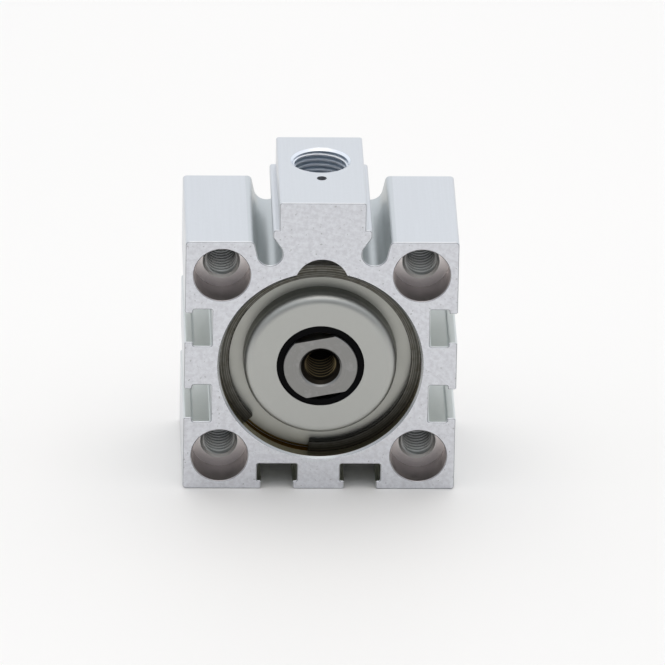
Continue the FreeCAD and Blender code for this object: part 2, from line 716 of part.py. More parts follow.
def make_piston():
    """The turned piston with its magnet step, grooves, spring pocket and screw seat."""
    hub_r = f"({rod_r} + sizes.seat_fit)"
    bore_in = f"({rod_spigot_r} + sizes.seat_fit)"
    seal_floor = f"({rod_spigot_r} + sizes.rod_seal_section + 2 * sizes.seat_fit)"
    seal_front = f"({rod_seal_middle} - sizes.rod_seal_section / 2 - sizes.groove_play)"
    seal_back = f"({rod_seal_middle} + sizes.rod_seal_section / 2 + sizes.groove_play)"
    clearance_r = f"({screw_r} + sizes.screw_clearance)"
    head_r = f"({screw_head_r} + sizes.seat_fit)"
    spigot_end = f"({rod_end} + sizes.groove_play)"
    guide_floor = f"({guide_inner_r} - sizes.groove_play)"
    lip_floor = f"({seal_inner_r} - sizes.groove_play)"
    turned_body("piston", [
        (piston_front, hub_r),
        (piston_front, spring_pocket_inner_r),
        (spring_back, spring_pocket_inner_r),
        (spring_back, spring_pocket_outer_r),
        (piston_front, spring_pocket_outer_r),
        (piston_front, f"{magnet_inner_r} - sizes.seat_fit"),
        (magnet_back, f"{magnet_inner_r} - sizes.seat_fit"),
        (magnet_back, piston_r),
        (guide_groove, piston_r),
        (guide_groove, guide_floor),
        (guide_groove_end, guide_floor),
        (guide_groove_end, piston_r),
        (seal_groove, piston_r),
        (seal_groove, lip_floor),
        (seal_groove_end, lip_floor),
        (seal_groove_end, skirt_r),
        (f"{piston_rear} - sizes.piston_edge", skirt_r),
        (piston_rear, f"{skirt_r} - sizes.piston_edge"),
        (piston_rear, head_r),
        (screw_head_end, head_r),
        (f"{screw_head_end} - {head_r} + {clearance_r}", clearance_r),
        (spigot_end, clearance_r),
        (spigot_end, bore_in),
        (seal_back, bore_in),
        (seal_back, seal_floor),
        (seal_front, seal_floor),
        (seal_front, bore_in),
        (rod_shoulder, bore_in),
        (rod_shoulder, hub_r),
    ])


def make_piston_pieces():
    """The pieces on the piston: magnet, guide ring, lip seal and the seal on the rod."""
    turned_body("piston_magnet", [
        (magnet_front, magnet_inner_r),
        (magnet_back, magnet_inner_r),
        (magnet_back, magnet_outer_r),
        (magnet_front, magnet_outer_r),
    ])

    running_r = f"({bore_r} - sizes.running_gap)"
    guide_front = f"({guide_groove} + sizes.groove_play)"
    guide_back = f"({guide_front} + sizes.guide_width)"
    turned_body("piston_guide_ring", [
        (guide_front, guide_inner_r),
        (guide_back, guide_inner_r),
        (guide_back, running_r),
        (guide_front, running_r),
    ], angle="360 - sizes.guide_slit_angle")

    # The lips open to the rear, towards the pressure
    front = f"({seal_groove} + sizes.groove_play)"
    back = f"({front} + sizes.seal_width)"
    middle_r = f"({running_r} - sizes.seal_height / 2)"
    turned_body("piston_seal", [
        (front, seal_inner_r),
        (front, f"{running_r} - sizes.seal_lip / 2"),
        (f"{back} - sizes.seal_lip", running_r),
        (back, f"{running_r} - sizes.seal_lip / 2"),
        (back, f"{running_r} - sizes.seal_lip"),
        (f"{front} + sizes.seal_width / 2", middle_r),
        (back, f"{seal_inner_r} + sizes.seal_lip"),
        (back, seal_inner_r),
    ])

    make_o_ring("rod_o_ring", rod_seal_middle, f"({rod_spigot_r} + sizes.seat_fit)", "sizes.rod_seal_section")


def make_piston_rod():
    """The rod: threaded front end with two spanner flats, and a spigot for the piston."""
    front = "-sizes.rod_proud"
    thread_r = "(sizes.rod_thread_diameter / 2)"
    thread_end = f"({front} + sizes.rod_thread_depth)"
    screw_hole_r = f"({screw_r} + sizes.seat_fit)"
    screw_hole_end = f"({screw_tip} - sizes.screw_hole_spare)"
    body = turned_body("piston_rod", [
        (front, f"{thread_r} + sizes.rod_thread_chamfer"),
        (front, f"{rod_r} - sizes.rod_edge"),
        (f"{front} + sizes.rod_edge", rod_r),
        (rod_shoulder, rod_r),
        (rod_shoulder, rod_spigot_r),
        (rod_end, rod_spigot_r),
        (rod_end, screw_hole_r),
        (screw_hole_end, screw_hole_r),
        (f"{screw_hole_end} - {cone_depth(screw_hole_r)}", "0"),
        (f"{thread_end} + {cone_depth(thread_r)}", "0"),
        (thread_end, thread_r),
        (f"{front} + sizes.rod_thread_chamfer", thread_r),
    ])
    flats = new_sketch(body, "flat_section", "XZ_Plane", ("0", "0", "sizes.rod_proud"))
    near, far = "(sizes.flat_across / 2)", "sizes.rod_diameter"
    for inner, outer in ((near, far), (negative(near), negative(far))):
        outline(flats, [(negative(far), inner), (far, inner), (far, outer), (negative(far), outer)])
    pocket(body, flats, "spanner_flats", "sizes.flat_length")
    body.Placement = FreeCAD.Placement(
        FreeCAD.Vector(), FreeCAD.Rotation(FreeCAD.Vector(0, -1, 0), value("sizes.flat_turn")))
    body.setExpression("Placement.Rotation.Angle", "sizes.flat_turn")


def make_piston_screw():
    """The countersunk screw that holds the piston on the rod."""
    body = turned_body("piston_screw", [
        (screw_tip, "0"),
        (screw_tip, screw_r),
        (screw_neck, screw_r),
        (screw_head_end, screw_head_r),
        (screw_head_end, "0"),
    ])
    socket = new_sketch(body, "socket_section", "XZ_Plane", ("0", "0", negative(screw_head_end)))
    corner_r = "sizes.screw_socket / sqrt(3)"
    outline(socket, [(f"{corner_r} * cos({60 * i + 30})", f"{corner_r} * sin({60 * i + 30})") for i in range(6)])
    cut = pocket(body, socket, "socket", "sizes.screw_socket_depth")
    cut.Reversed = True


def check_and_export():
    """Stop on any failed feature or bad solid, then write each piece to its own file."""
    doc.recompute()
    for item in doc.Objects:
        if "Invalid" in item.State or "Error" in item.State:
            raise RuntimeError(f"{item.Name} failed: {item.State}")
    bodies = [item for item in doc.Objects if item.TypeId == "PartDesign::Body"]
    for body in bodies:
        shape = body.Shape
        if shape.isNull() or not shape.isValid() or len(shape.Solids) != 1 or shape.Volume <= 0:
            raise RuntimeError(f"{body.Label} is not one sound solid")
    os.makedirs("parts", exist_ok=True)
    for body in bodies:
        body.Shape.exportStep(os.path.join("parts", f"{body.Label}.step"))


make_barrel()
make_retaining_ring()
make_bearing_cap()
make_cap_pieces()
make_cushion_ring("front_cushion_ring", front_stop, f"({cap_rear} - sizes.cushion_seat)")
make_cushion_ring("rear_cushion_ring", rear_stop, f"({bore_end} + sizes.cushion_seat)")
make_return_spring()
make_piston()
make_piston_pieces()
make_piston_rod()
make_piston_screw()
check_and_export()
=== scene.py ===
import json
import math

import bmesh
import bpy
from mathutils import Matrix, Vector


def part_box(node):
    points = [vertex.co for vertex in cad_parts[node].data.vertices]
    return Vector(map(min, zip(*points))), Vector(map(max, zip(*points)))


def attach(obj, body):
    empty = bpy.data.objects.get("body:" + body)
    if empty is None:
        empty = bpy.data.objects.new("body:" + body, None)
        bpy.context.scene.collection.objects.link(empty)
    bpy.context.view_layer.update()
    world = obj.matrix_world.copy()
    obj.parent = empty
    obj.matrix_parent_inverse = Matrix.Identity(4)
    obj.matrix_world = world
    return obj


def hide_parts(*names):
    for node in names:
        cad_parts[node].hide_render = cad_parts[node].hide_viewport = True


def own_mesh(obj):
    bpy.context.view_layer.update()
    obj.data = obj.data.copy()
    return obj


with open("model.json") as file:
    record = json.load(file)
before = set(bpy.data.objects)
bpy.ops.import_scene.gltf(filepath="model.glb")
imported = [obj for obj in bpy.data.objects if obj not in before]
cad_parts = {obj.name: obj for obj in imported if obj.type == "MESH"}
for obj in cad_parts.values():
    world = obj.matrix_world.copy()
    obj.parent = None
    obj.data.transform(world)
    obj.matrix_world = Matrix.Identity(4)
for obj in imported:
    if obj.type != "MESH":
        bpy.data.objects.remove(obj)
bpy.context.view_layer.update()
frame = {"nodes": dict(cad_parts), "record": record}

# Short-stroke pneumatic cylinder, drawn in metres in the frame of the solids: the rod axis is Y, the
# front face is y = 0 and the air port points up, +Z.
MM = 0.001

# A limit past every place on the part and every share of a pattern
NO_LIMIT = 2.0

mounts = {mount["name"]: mount for mount in frame["record"]["mounts"]}
barrel_low, barrel_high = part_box("barrel")
ring_low, ring_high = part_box("retaining_ring")
rod_low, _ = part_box("piston_rod")

# Corner holes
HOLE_SPACING = mounts["front_mounting_holes"]["dims"]["spacing_x_mm"] * MM
HOLE_RADIUS = mounts["front_mounting_holes"]["dims"]["hole_r_mm"] * MM
HOLE_FRONT = mounts["front_mounting_holes"]["pos_m"][1]
HOLE_REAR = mounts["rear_mounting_holes"]["pos_m"][1]
COUNTERBORE_RADIUS = 4.6 * MM

# Threads: metric M6 in the corners and the rod's end, G1/8 in the port
M6_PITCH = 1.0 * MM
M6_RIDGE = 0.54 * MM
G18_PITCH = 0.907 * MM
G18_RIDGE = 0.58 * MM
PORT_RADIUS = mounts["air_port"]["dims"]["r_mm"] * MM
PORT_LENGTH = mounts["air_port"]["dims"]["length_mm"] * MM
PORT_BACK = mounts["air_port"]["pos_m"][1]
PORT_FLOOR = mounts["air_port"]["pos_m"][2] - PORT_LENGTH / 2
ROD_HOLE_RADIUS = mounts["rod_end_thread"]["dims"]["r_mm"] * MM
ROD_HOLE_LENGTH = mounts["rod_end_thread"]["dims"]["length_mm"] * MM
ROD_COUNTERSINK = 0.5 * MM
ROD_HOLE_END = rod_low.y + 12 * MM

# Slots along the body
SLOT_DEPTH = 4.5 * MM
BLOCK_WIDTH = 14.1 * MM
KEYHOLE_FLOOR = 15.5 * MM
KEYHOLE_REACH = 5.0 * MM

# Round front opening and the cap's boss in it
SEAT_RADIUS = 16.5 * MM
MOUTH_CHAMFER = 0.33 * MM
NOTCH_RADIUS = 4.39 * MM
NOTCH_DEPTH = 3.5 * MM
GROOVE_DEPTH = 1.2 * MM
BOSS_RADIUS = 12.55 * MM
BOSS_EDGE = 1.9 * MM

# Surfaces: how smooth a polished cut is, how strong the relief is, where an edge stays sharp, and the
# axis that the mill's marks go round
POLISHED_ROUGHNESS = 0.26
RELIEF_STRENGTH = 0.6
SHARP_ANGLE = math.radians(35)
MILL_CENTRE = (-18 * MM, 0, -46 * MM)

# The photograph's camera: how far it looks down, its turn and roll, its distance and its framing
IMAGE_SIDE = 665
CAMERA_DOWN = math.radians(25.33)
CAMERA_TURN = math.radians(-2.06)
CAMERA_ROLL = math.radians(1.08)
CAMERA_DISTANCE = 2218 * MM
PIXELS_PER_MM = 6.138
AIM_RIGHT = 1.961 * MM
AIM_UP = 5.459 * MM
SENSOR_WIDTH = 36.0

# The studio: half the floor's side, and the light of the sky low in front and high behind
FLOOR_HALF = 6.0
UP_AND_BACK = (0.0, 1.0, 1.2)
SKY_DIM = 0.33
SKY_BRIGHT = 1.045


def linear(code):
    """An sRGB hex colour as linear red, green and blue with full alpha."""
    parts = [int(code[i:i + 2], 16) / 255 for i in (1, 3, 5)]
    return [c / 12.92 if c <= 0.04045 else ((c + 0.055) / 1.055) ** 2.4 for c in parts] + [1.0]


def add(tree, kind, sockets=(), **settings):
    """Add a node with its settings and give its outputs. A socket gets a value, or the output that
    feeds it."""
    made = tree.nodes.new(kind)
    for name, setting in settings.items():
        setattr(made, name, setting)
    for key, fed in dict(sockets).items():
        if isinstance(fed, bpy.types.NodeSocket):
            tree.links.new(fed, made.inputs[key])
        else:
            made.inputs[key].default_value = fed
    return made.outputs


# Patterns that the materials share

def from_axis(tree, along="Y", through=(0, 0, 0), place=None):
    """How far a point is from a line through a place, along one axis of the frame."""
    place = place or add(tree, "ShaderNodeTexCoord")["Object"]
    across = [0 if axis == along else 1 for axis in "XYZ"]
    moved = add(tree, "ShaderNodeVectorMath", {0: place, 1: through}, operation="SUBTRACT")[0]
    flat = add(tree, "ShaderNodeVectorMath", {0: moved, 1: across}, operation="MULTIPLY")[0]
    return add(tree, "ShaderNodeVectorMath", {0: flat}, operation="LENGTH")["Value"]


def tool_lines(tree, spacing):
    """Uneven lines round the rod axis, as a turning tool leaves them, on faces and on walls. Real ones
    are some 0.1 mm apart, too fine to show, so they are drawn two or more times as wide."""
    place = add(tree, "ShaderNodeTexCoord")["Object"]
    depth = add(tree, "ShaderNodeSeparateXYZ", {0: place})["Y"]
    travel = add(tree, "ShaderNodeMath", {0: from_axis(tree), 1: depth}, operation="ADD")[0]
    return add(tree, "ShaderNodeTexNoise", {"W": travel, "Scale": 1 / spacing, "Detail": 2.0},
               noise_dimensions="1D")["Fac"]


def grain(tree, size, stretch=(1, 1, 1), detail=4.0):
    """Fine uneven grain, drawn out along an axis where its stretch is under 1."""
    place = add(tree, "ShaderNodeTexCoord")["Object"]
    place = add(tree, "ShaderNodeVectorMath", {0: place, 1: stretch}, operation="MULTIPLY")[0]
    return add(tree, "ShaderNodeTexNoise",
               {"Vector": place, "Scale": 1 / size, "Detail": detail, "Roughness": 0.65})["Fac"]


def between(tree, value, low, high, soft):
    """1 where a value lies between two limits and 0 outside, with soft borders."""
    above = add(tree, "ShaderNodeMapRange",
                {"Value": value, "From Min": low - soft, "From Max": low + soft},
                interpolation_type="SMOOTHSTEP")["Result"]
    below = add(tree, "ShaderNodeMapRange",
                {"Value": value, "From Min": high + soft, "From Max": high - soft},
                interpolation_type="SMOOTHSTEP")["Result"]
    return add(tree, "ShaderNodeMath", {0: above, 1: below}, operation="MULTIPLY")[0]


def coats(tree, colour, *layers):
    """A colour with coats laid over it. A coat's cover is the product of its shares."""
    for *shares, coat in layers:
        cover = shares[0]
        for share in shares[1:]:
            cover = add(tree, "ShaderNodeMath", {0: cover, 1: share}, operation="MULTIPLY")[0]
        colour = add(tree, "ShaderNodeMix", {0: cover, 6: colour, 7: linear(coat)}, data_type="RGBA")[2]
    return colour


def new_material(name, metallic):
    """An empty material, with its tree and its shader."""
    material = bpy.data.materials.new(name)
    material.use_nodes = True
    shader = material.node_tree.nodes["Principled BSDF"]
    shader.inputs["Metallic"].default_value = metallic
    return material, material.node_tree, shader


def finish_surface(tree, shader, colour, uneven, smoothest, roughest, relief, depth, polished=0.0):
    """Give a shader its colour, an uneven roughness, a share of polished metal and a relief."""
    rough = add(tree, "ShaderNodeMapRange",
                {"Value": uneven, "From Min": 0.25, "From Max": 0.75,
                 "To Min": smoothest, "To Max": roughest})["Result"]
    rough = add(tree, "ShaderNodeMix", {0: polished, 2: rough, 3: POLISHED_ROUGHNESS})[0]
    bump = add(tree, "ShaderNodeBump",
               {"Height": relief, "Distance": depth, "Strength": RELIEF_STRENGTH})
    tree.links.new(colour, shader.inputs["Base Color"])
    tree.links.new(rough, shader.inputs["Roughness"])
    tree.links.new(bump["Normal"], shader.inputs["Normal"])


# Materials

def satin_anodised_extrusion():
    """Natural anodised aluminium, pressed through a die: satin and pale, with hardly seen lines along
    it. Its ends are milled and a little mottled, its holes are cut bare and warm, and oil stains the
    ring's groove and land. Painted shade darkens the thread roots and the depths of the corner holes,
    the upward-facing walls of the counterbores, the bottom slots, the keyholes, the notch, the mouth's
    chamfer and the broken edges at the ends, and the counterbore seats are painted lighter."""
    material, tree, shader = new_material("satin_anodised_extrusion", 1.0)
    at = add(tree, "ShaderNodeSeparateXYZ", {0: add(tree, "ShaderNodeTexCoord")["Object"]})
    facing = add(tree, "ShaderNodeSeparateXYZ", {0: add(tree, "ShaderNodeTexCoord")["Normal"]})
    endwise = add(tree, "ShaderNodeMath", {0: facing["Y"]}, operation="ABSOLUTE")[0]
    on_end = between(tree, endwise, 0.94, NO_LIMIT, 0.04)

    # Real die lines are some 0.05 mm apart, too fine to show, so they are drawn at 0.4 mm
    die_lines = grain(tree, 0.4 * MM, stretch=(1, 0.02, 1), detail=2.0)
    mottle = grain(tree, 0.8 * MM)
    mill_marks = add(tree, "ShaderNodeTexNoise",
                     {"W": from_axis(tree, through=MILL_CENTRE), "Scale": 1 / (0.45 * MM)},
                     noise_dimensions="1D")["Fac"]
    milled = add(tree, "ShaderNodeMix", {0: 0.15, 2: mottle, 3: mill_marks})[0]
    pattern = add(tree, "ShaderNodeMix", {0: on_end, 2: die_lines, 3: milled})[0]
    shade = between(tree, pattern, 0.5, NO_LIMIT, 0.14)
    pits = between(tree, grain(tree, 0.6 * MM, detail=1.0), 0.7, NO_LIMIT, 0.04)
    colour = coats(tree, linear("#D6D8DA"), (shade, 0.15, "#E0E2E5"), (on_end, "#E0E2E7"),
                   (shade, on_end, "#D3D4D9"), (pits, on_end, 0.5, "#8C8E8B"))

    # The broken edges where they meet the ends are painted darker, as painted shade that dims their
    # highlights
    on_slant = between(tree, endwise, 0.5, 0.9, 0.05)
    from_front = add(tree, "ShaderNodeMath", {0: at["Y"], 1: barrel_low.y}, operation="SUBTRACT")[0]
    from_rear = add(tree, "ShaderNodeMath", {0: barrel_high.y, 1: at["Y"]}, operation="SUBTRACT")[0]
    from_end = add(tree, "ShaderNodeMath", {0: from_front, 1: from_rear}, operation="MINIMUM")[0]
    by_end = between(tree, from_end, -NO_LIMIT, 0.07 * MM, 0.02 * MM)
    colour = coats(tree, colour, (on_slant, by_end, "#8E9093"))

    # The chamfer of the round opening is cut smooth, and painted a little darker as painted shade that
    # tones down its highlight
    from_rod = from_axis(tree)
    at_mouth = between(tree, from_rod, SEAT_RADIUS - 0.1 * MM, SEAT_RADIUS + 1.3 * MOUTH_CHAMFER,
                       0.02 * MM)
    cut_edge = add(tree, "ShaderNodeMath", {0: on_slant, 1: at_mouth}, operation="MULTIPLY")[0]
    colour = coats(tree, colour, (cut_edge, "#AFB1B2"))

    # The slots' walls: a little green in the flanks, and painted shade darkens them to olive underneath
    # and to grey in the keyholes
    along = between(tree, endwise, -NO_LIMIT, 0.45, 0.05)
    sideways = add(tree, "ShaderNodeMath", {0: at["X"]}, operation="ABSOLUTE")[0]
    under = between(tree, at["Z"], barrel_low.z + 0.1 * MM, barrel_low.z + SLOT_DEPTH, 0.1 * MM)
    hole_side = 0.5 * HOLE_SPACING - COUNTERBORE_RADIUS
    inward = between(tree, sideways, -NO_LIMIT, hole_side, 0.1 * MM)
    flank = between(tree, sideways, barrel_high.x - SLOT_DEPTH, barrel_high.x - 0.1 * MM, 0.1 * MM)
    level = between(tree, at["Z"], -hole_side, hole_side, 0.1 * MM)
    keyhole = between(tree, at["Z"], KEYHOLE_FLOOR, -barrel_low.z, 0.5 * MM)
    beside = between(tree, sideways, 0.5 * BLOCK_WIDTH - 1.0 * MM, 0.5 * BLOCK_WIDTH + KEYHOLE_REACH,
                     0.1 * MM)
    colour = coats(tree, colour, (along, flank, level, "#D5D8D5"), (along, under, inward, "#8E9080"),
                   (along, keyhole, beside, "#C4C8C8"))

    # Corner holes: the distance from the nearest of their four axes
    place = add(tree, "ShaderNodeTexCoord")["Object"]
    mirrored = add(tree, "ShaderNodeVectorMath", {0: place}, operation="ABSOLUTE")[0]
    from_hole = from_axis(tree, through=(HOLE_SPACING / 2, 0, HOLE_SPACING / 2), place=mirrored)
    in_counterbore = between(tree, from_hole, -NO_LIMIT, COUNTERBORE_RADIUS + 0.05 * MM, 0.04 * MM)
    in_thread = between(tree, from_hole, -NO_LIMIT, HOLE_RADIUS + 0.08 * MM, 0.04 * MM)
    in_root = between(tree, from_hole, HOLE_RADIUS - 0.75 * M6_RIDGE, NO_LIMIT, 0.2 * M6_RIDGE)
    past_lead = between(tree, at["Y"], HOLE_FRONT + M6_RIDGE, HOLE_REAR - M6_RIDGE, 0.15 * MM)
    deep = between(tree, at["Y"], HOLE_FRONT + 4 * MM, HOLE_REAR - 4 * MM, 3 * MM)
    turned = tool_lines(tree, 0.25 * MM)
    upward = between(tree, facing["Z"], 0.4, NO_LIMIT, 0.1)
    # Painted light and shade in the corner holes: the counterbore seats are painted lighter and their
    # upward-facing lower walls darker, and the thread roots and the holes' depths are darkened as
    # painted shade
    colour = coats(tree, colour, (in_counterbore, "#C8C0BE"), (in_counterbore, on_end, "#F4EEEC"),
                   (in_counterbore, turned, 0.3, "#DED8D6"), (in_counterbore, upward, 0.6, "#847D7C"),
                   (in_thread, "#DEE0DD"), (in_thread, in_root, past_lead, "#969995"),
                   (in_thread, deep, 0.7, "#55585A"))

    # Air port: light bare-cut crests over roots painted darker as painted shade
    from_port = from_axis(tree, "Z", (0, PORT_BACK, 0))
    in_port = between(tree, from_port, -NO_LIMIT, PORT_RADIUS + 0.03 * MM, 0.03 * MM)
    above_floor = between(tree, at["Z"], PORT_FLOOR - 0.5 * MM, NO_LIMIT, 0.2 * MM)
    below_lead = between(tree, at["Z"], -NO_LIMIT, PORT_FLOOR + PORT_LENGTH - 0.8 * G18_RIDGE,
                         0.15 * MM)
    port_root = between(tree, from_port, PORT_RADIUS - 0.55 * G18_RIDGE, NO_LIMIT, 0.15 * G18_RIDGE)
    colour = coats(tree, colour, (in_port, above_floor, "#EEF2F7"),
                   (in_port, above_floor, below_lead, port_root, "#CDD5DD"))

    # Oil round the ring, golden in the groove and dark on the land where it gathers below, and painted
    # shade in grey in the notch above the ring
    in_groove = between(tree, from_rod, SEAT_RADIUS + 0.08 * MM, SEAT_RADIUS + GROOVE_DEPTH, 0.05 * MM)
    at_ring = between(tree, at["Y"], ring_low.y - 0.1 * MM, ring_high.y + 0.1 * MM, 0.03 * MM)
    on_land = between(tree, from_rod, SEAT_RADIUS - 0.1 * MM, SEAT_RADIUS + 0.05 * MM, 0.02 * MM)
    before_ring = between(tree, at["Y"], MOUTH_CHAMFER, ring_low.y, 0.05 * MM)
    below = between(tree, at["Z"], -NO_LIMIT, -2 * MM, 4 * MM)
    at_top = between(tree, at["Z"], 0.0, NO_LIMIT, 1.0 * MM)
    in_notch = between(tree, at["X"], -NOTCH_RADIUS, NOTCH_RADIUS, 0.1 * MM)
    notch_back = between(tree, from_rod, SEAT_RADIUS, SEAT_RADIUS + NOTCH_DEPTH, 0.1 * MM)
    behind_ring = between(tree, at["Y"], ring_low.y + 0.3 * MM, ring_high.y + 1.0 * MM, 0.1 * MM)
    colour = coats(tree, colour, (in_groove, at_ring, below, "#8C7236"),
                   (on_land, before_ring, below, "#AEA68C"),
                   (at_top, in_notch, notch_back, behind_ring, "#B8B8B3"))

    finish_surface(tree, shader, colour, mottle, 0.34, 0.44, pattern, 0.002 * MM, cut_edge)
    return material


def turned_cap_aluminium():
    """Turned and anodised aluminium: a soft grey, a little green on the boss and warmer on the rim, with
    painted shade and reflection darkening the boss's root, and oil golden along the lower edge."""
    material, tree, shader = new_material("turned_cap_aluminium", 1.0)
    rings = tool_lines(tree, 0.35 * MM)
    cloud = grain(tree, 2.5 * MM)
    from_rod = from_axis(tree)
    on_rim = between(tree, from_rod, BOSS_RADIUS, NO_LIMIT, 0.2 * MM)
    at = add(tree, "ShaderNodeSeparateXYZ", {0: add(tree, "ShaderNodeTexCoord")["Object"]})
    at_root = between(tree, from_rod, BOSS_RADIUS - 0.25 * MM, BOSS_RADIUS + 0.05 * MM, 0.05 * MM)
    behind_edge = between(tree, at["Y"], BOSS_EDGE, NO_LIMIT, 0.5 * MM)
    at_edge = between(tree, from_rod, SEAT_RADIUS - 0.38 * MM, NO_LIMIT, 0.08 * MM)
    below = between(tree, at["Z"], -NO_LIMIT, -2 * MM, 4 * MM)
    # The boss's root is painted dark: painted shade and reflection of the ring and bore above it
    colour = coats(tree, linear("#B4B5B1"), (cloud, "#BDBEBA"), (on_rim, 0.8, "#AEAEA7"),
                   (at_root, behind_edge, 0.65, "#5E5E55"), (at_edge, below, "#6E5B2E"))
    finish_surface(tree, shader, colour, cloud, 0.4, 0.48, rings, 0.001 * MM)
    return material


def phosphated_spring_steel():
    """Stamped spring steel, phosphated and oiled: brown-black, with rolled lines that catch the light,
    and darker towards the bottom."""
    material, tree, shader = new_material("phosphated_spring_steel", 1.0)
    rings = tool_lines(tree, 0.3 * MM)
    cloud = grain(tree, 1.2 * MM)
    at = add(tree, "ShaderNodeSeparateXYZ", {0: add(tree, "ShaderNodeTexCoord")["Object"]})
    below = between(tree, at["Z"], -NO_LIMIT, -6 * MM, 6 * MM)
    lines = between(tree, rings, 0.56, NO_LIMIT, 0.1)
    browned = between(tree, cloud, 0.55, NO_LIMIT, 0.15)
    colour = coats(tree, linear("#484843"), (lines, "#7E7C76"), (browned, 0.4, "#3A3424"),
                   (below, 0.75, "#191712"))
    finish_surface(tree, shader, colour, cloud, 0.28, 0.42, rings, 0.02 * MM)
    return material


def moulded_polymer(name, dark, light):
    """Moulded rubber or plastic: matt, with a faint mould grain and little gloss."""
    material, tree, shader = new_material(name, 0.0)
    shader.inputs["Specular IOR Level"].default_value = 0.06
    skin = grain(tree, 0.25 * MM)
    colour = coats(tree, linear(dark), (skin, light))
    finish_surface(tree, shader, colour, skin, 0.42, 0.58, skin, 0.01 * MM)
    return material


def ground_rod_steel():
    """Hardened rod steel: a faced end, worn brighter in places, and a threaded hole painted near-black
    as painted shade, with its crests painted paler as painted glints."""
    material, tree, shader = new_material("ground_rod_steel", 1.0)
    rings = tool_lines(tree, 0.24 * MM)
    wear = grain(tree, 1.5 * MM)
    at = add(tree, "ShaderNodeSeparateXYZ", {0: add(tree, "ShaderNodeTexCoord")["Object"]})
    from_centre = from_axis(tree)
    in_hole = between(tree, from_centre, -NO_LIMIT, ROD_HOLE_RADIUS + 0.22 * MM, 0.06 * MM)
    in_front = between(tree, at["Y"], -NO_LIMIT, ROD_HOLE_END, 0.2 * MM)
    crest = between(tree, from_centre, -NO_LIMIT, ROD_HOLE_RADIUS - 0.8 * M6_RIDGE, 0.15 * M6_RIDGE)
    in_reach = between(tree, at["Y"], rod_low.y + 1.2 * MM, rod_low.y + ROD_HOLE_LENGTH, 0.3 * MM)
    worn = between(tree, wear, 0.6, NO_LIMIT, 0.1)
    # The threaded hole is painted near-black as painted shade, and its crests paler as painted glints
    colour = coats(tree, linear("#8A8A88"), (rings, 0.5, "#959492"), (worn, 0.3, "#B0AEAF"),
                   (in_hole, in_front, "#1F1C17"), (in_hole, crest, in_reach, "#6C6047"))
    finish_surface(tree, shader, colour, wear, 0.28, 0.4, rings, 0.006 * MM)
    return material


def machined_metal(name, dark, light, spacing, rough):
    """A plain turned or drawn metal with tool lines."""
    material, tree, shader = new_material(name, 1.0)
    rings = tool_lines(tree, spacing)
    colour = coats(tree, linear(dark), (rings, light))
    finish_surface(tree, shader, colour, rings, rough, rough + 0.1, rings, 0.01 * MM)
    return material


def sintered_bronze():
    """Sintered bronze: porous, soaked in oil."""
    material, tree, shader = new_material("sintered_bronze", 1.0)
    pores = grain(tree, 0.2 * MM, detail=2.0)
    colour = coats(tree, linear("#4A3418"), (between(tree, pores, 0.48, NO_LIMIT, 0.12), "#8A6A38"))
    finish_surface(tree, shader, colour, pores, 0.35, 0.55, pores, 0.02 * MM)
    return material


# Threads

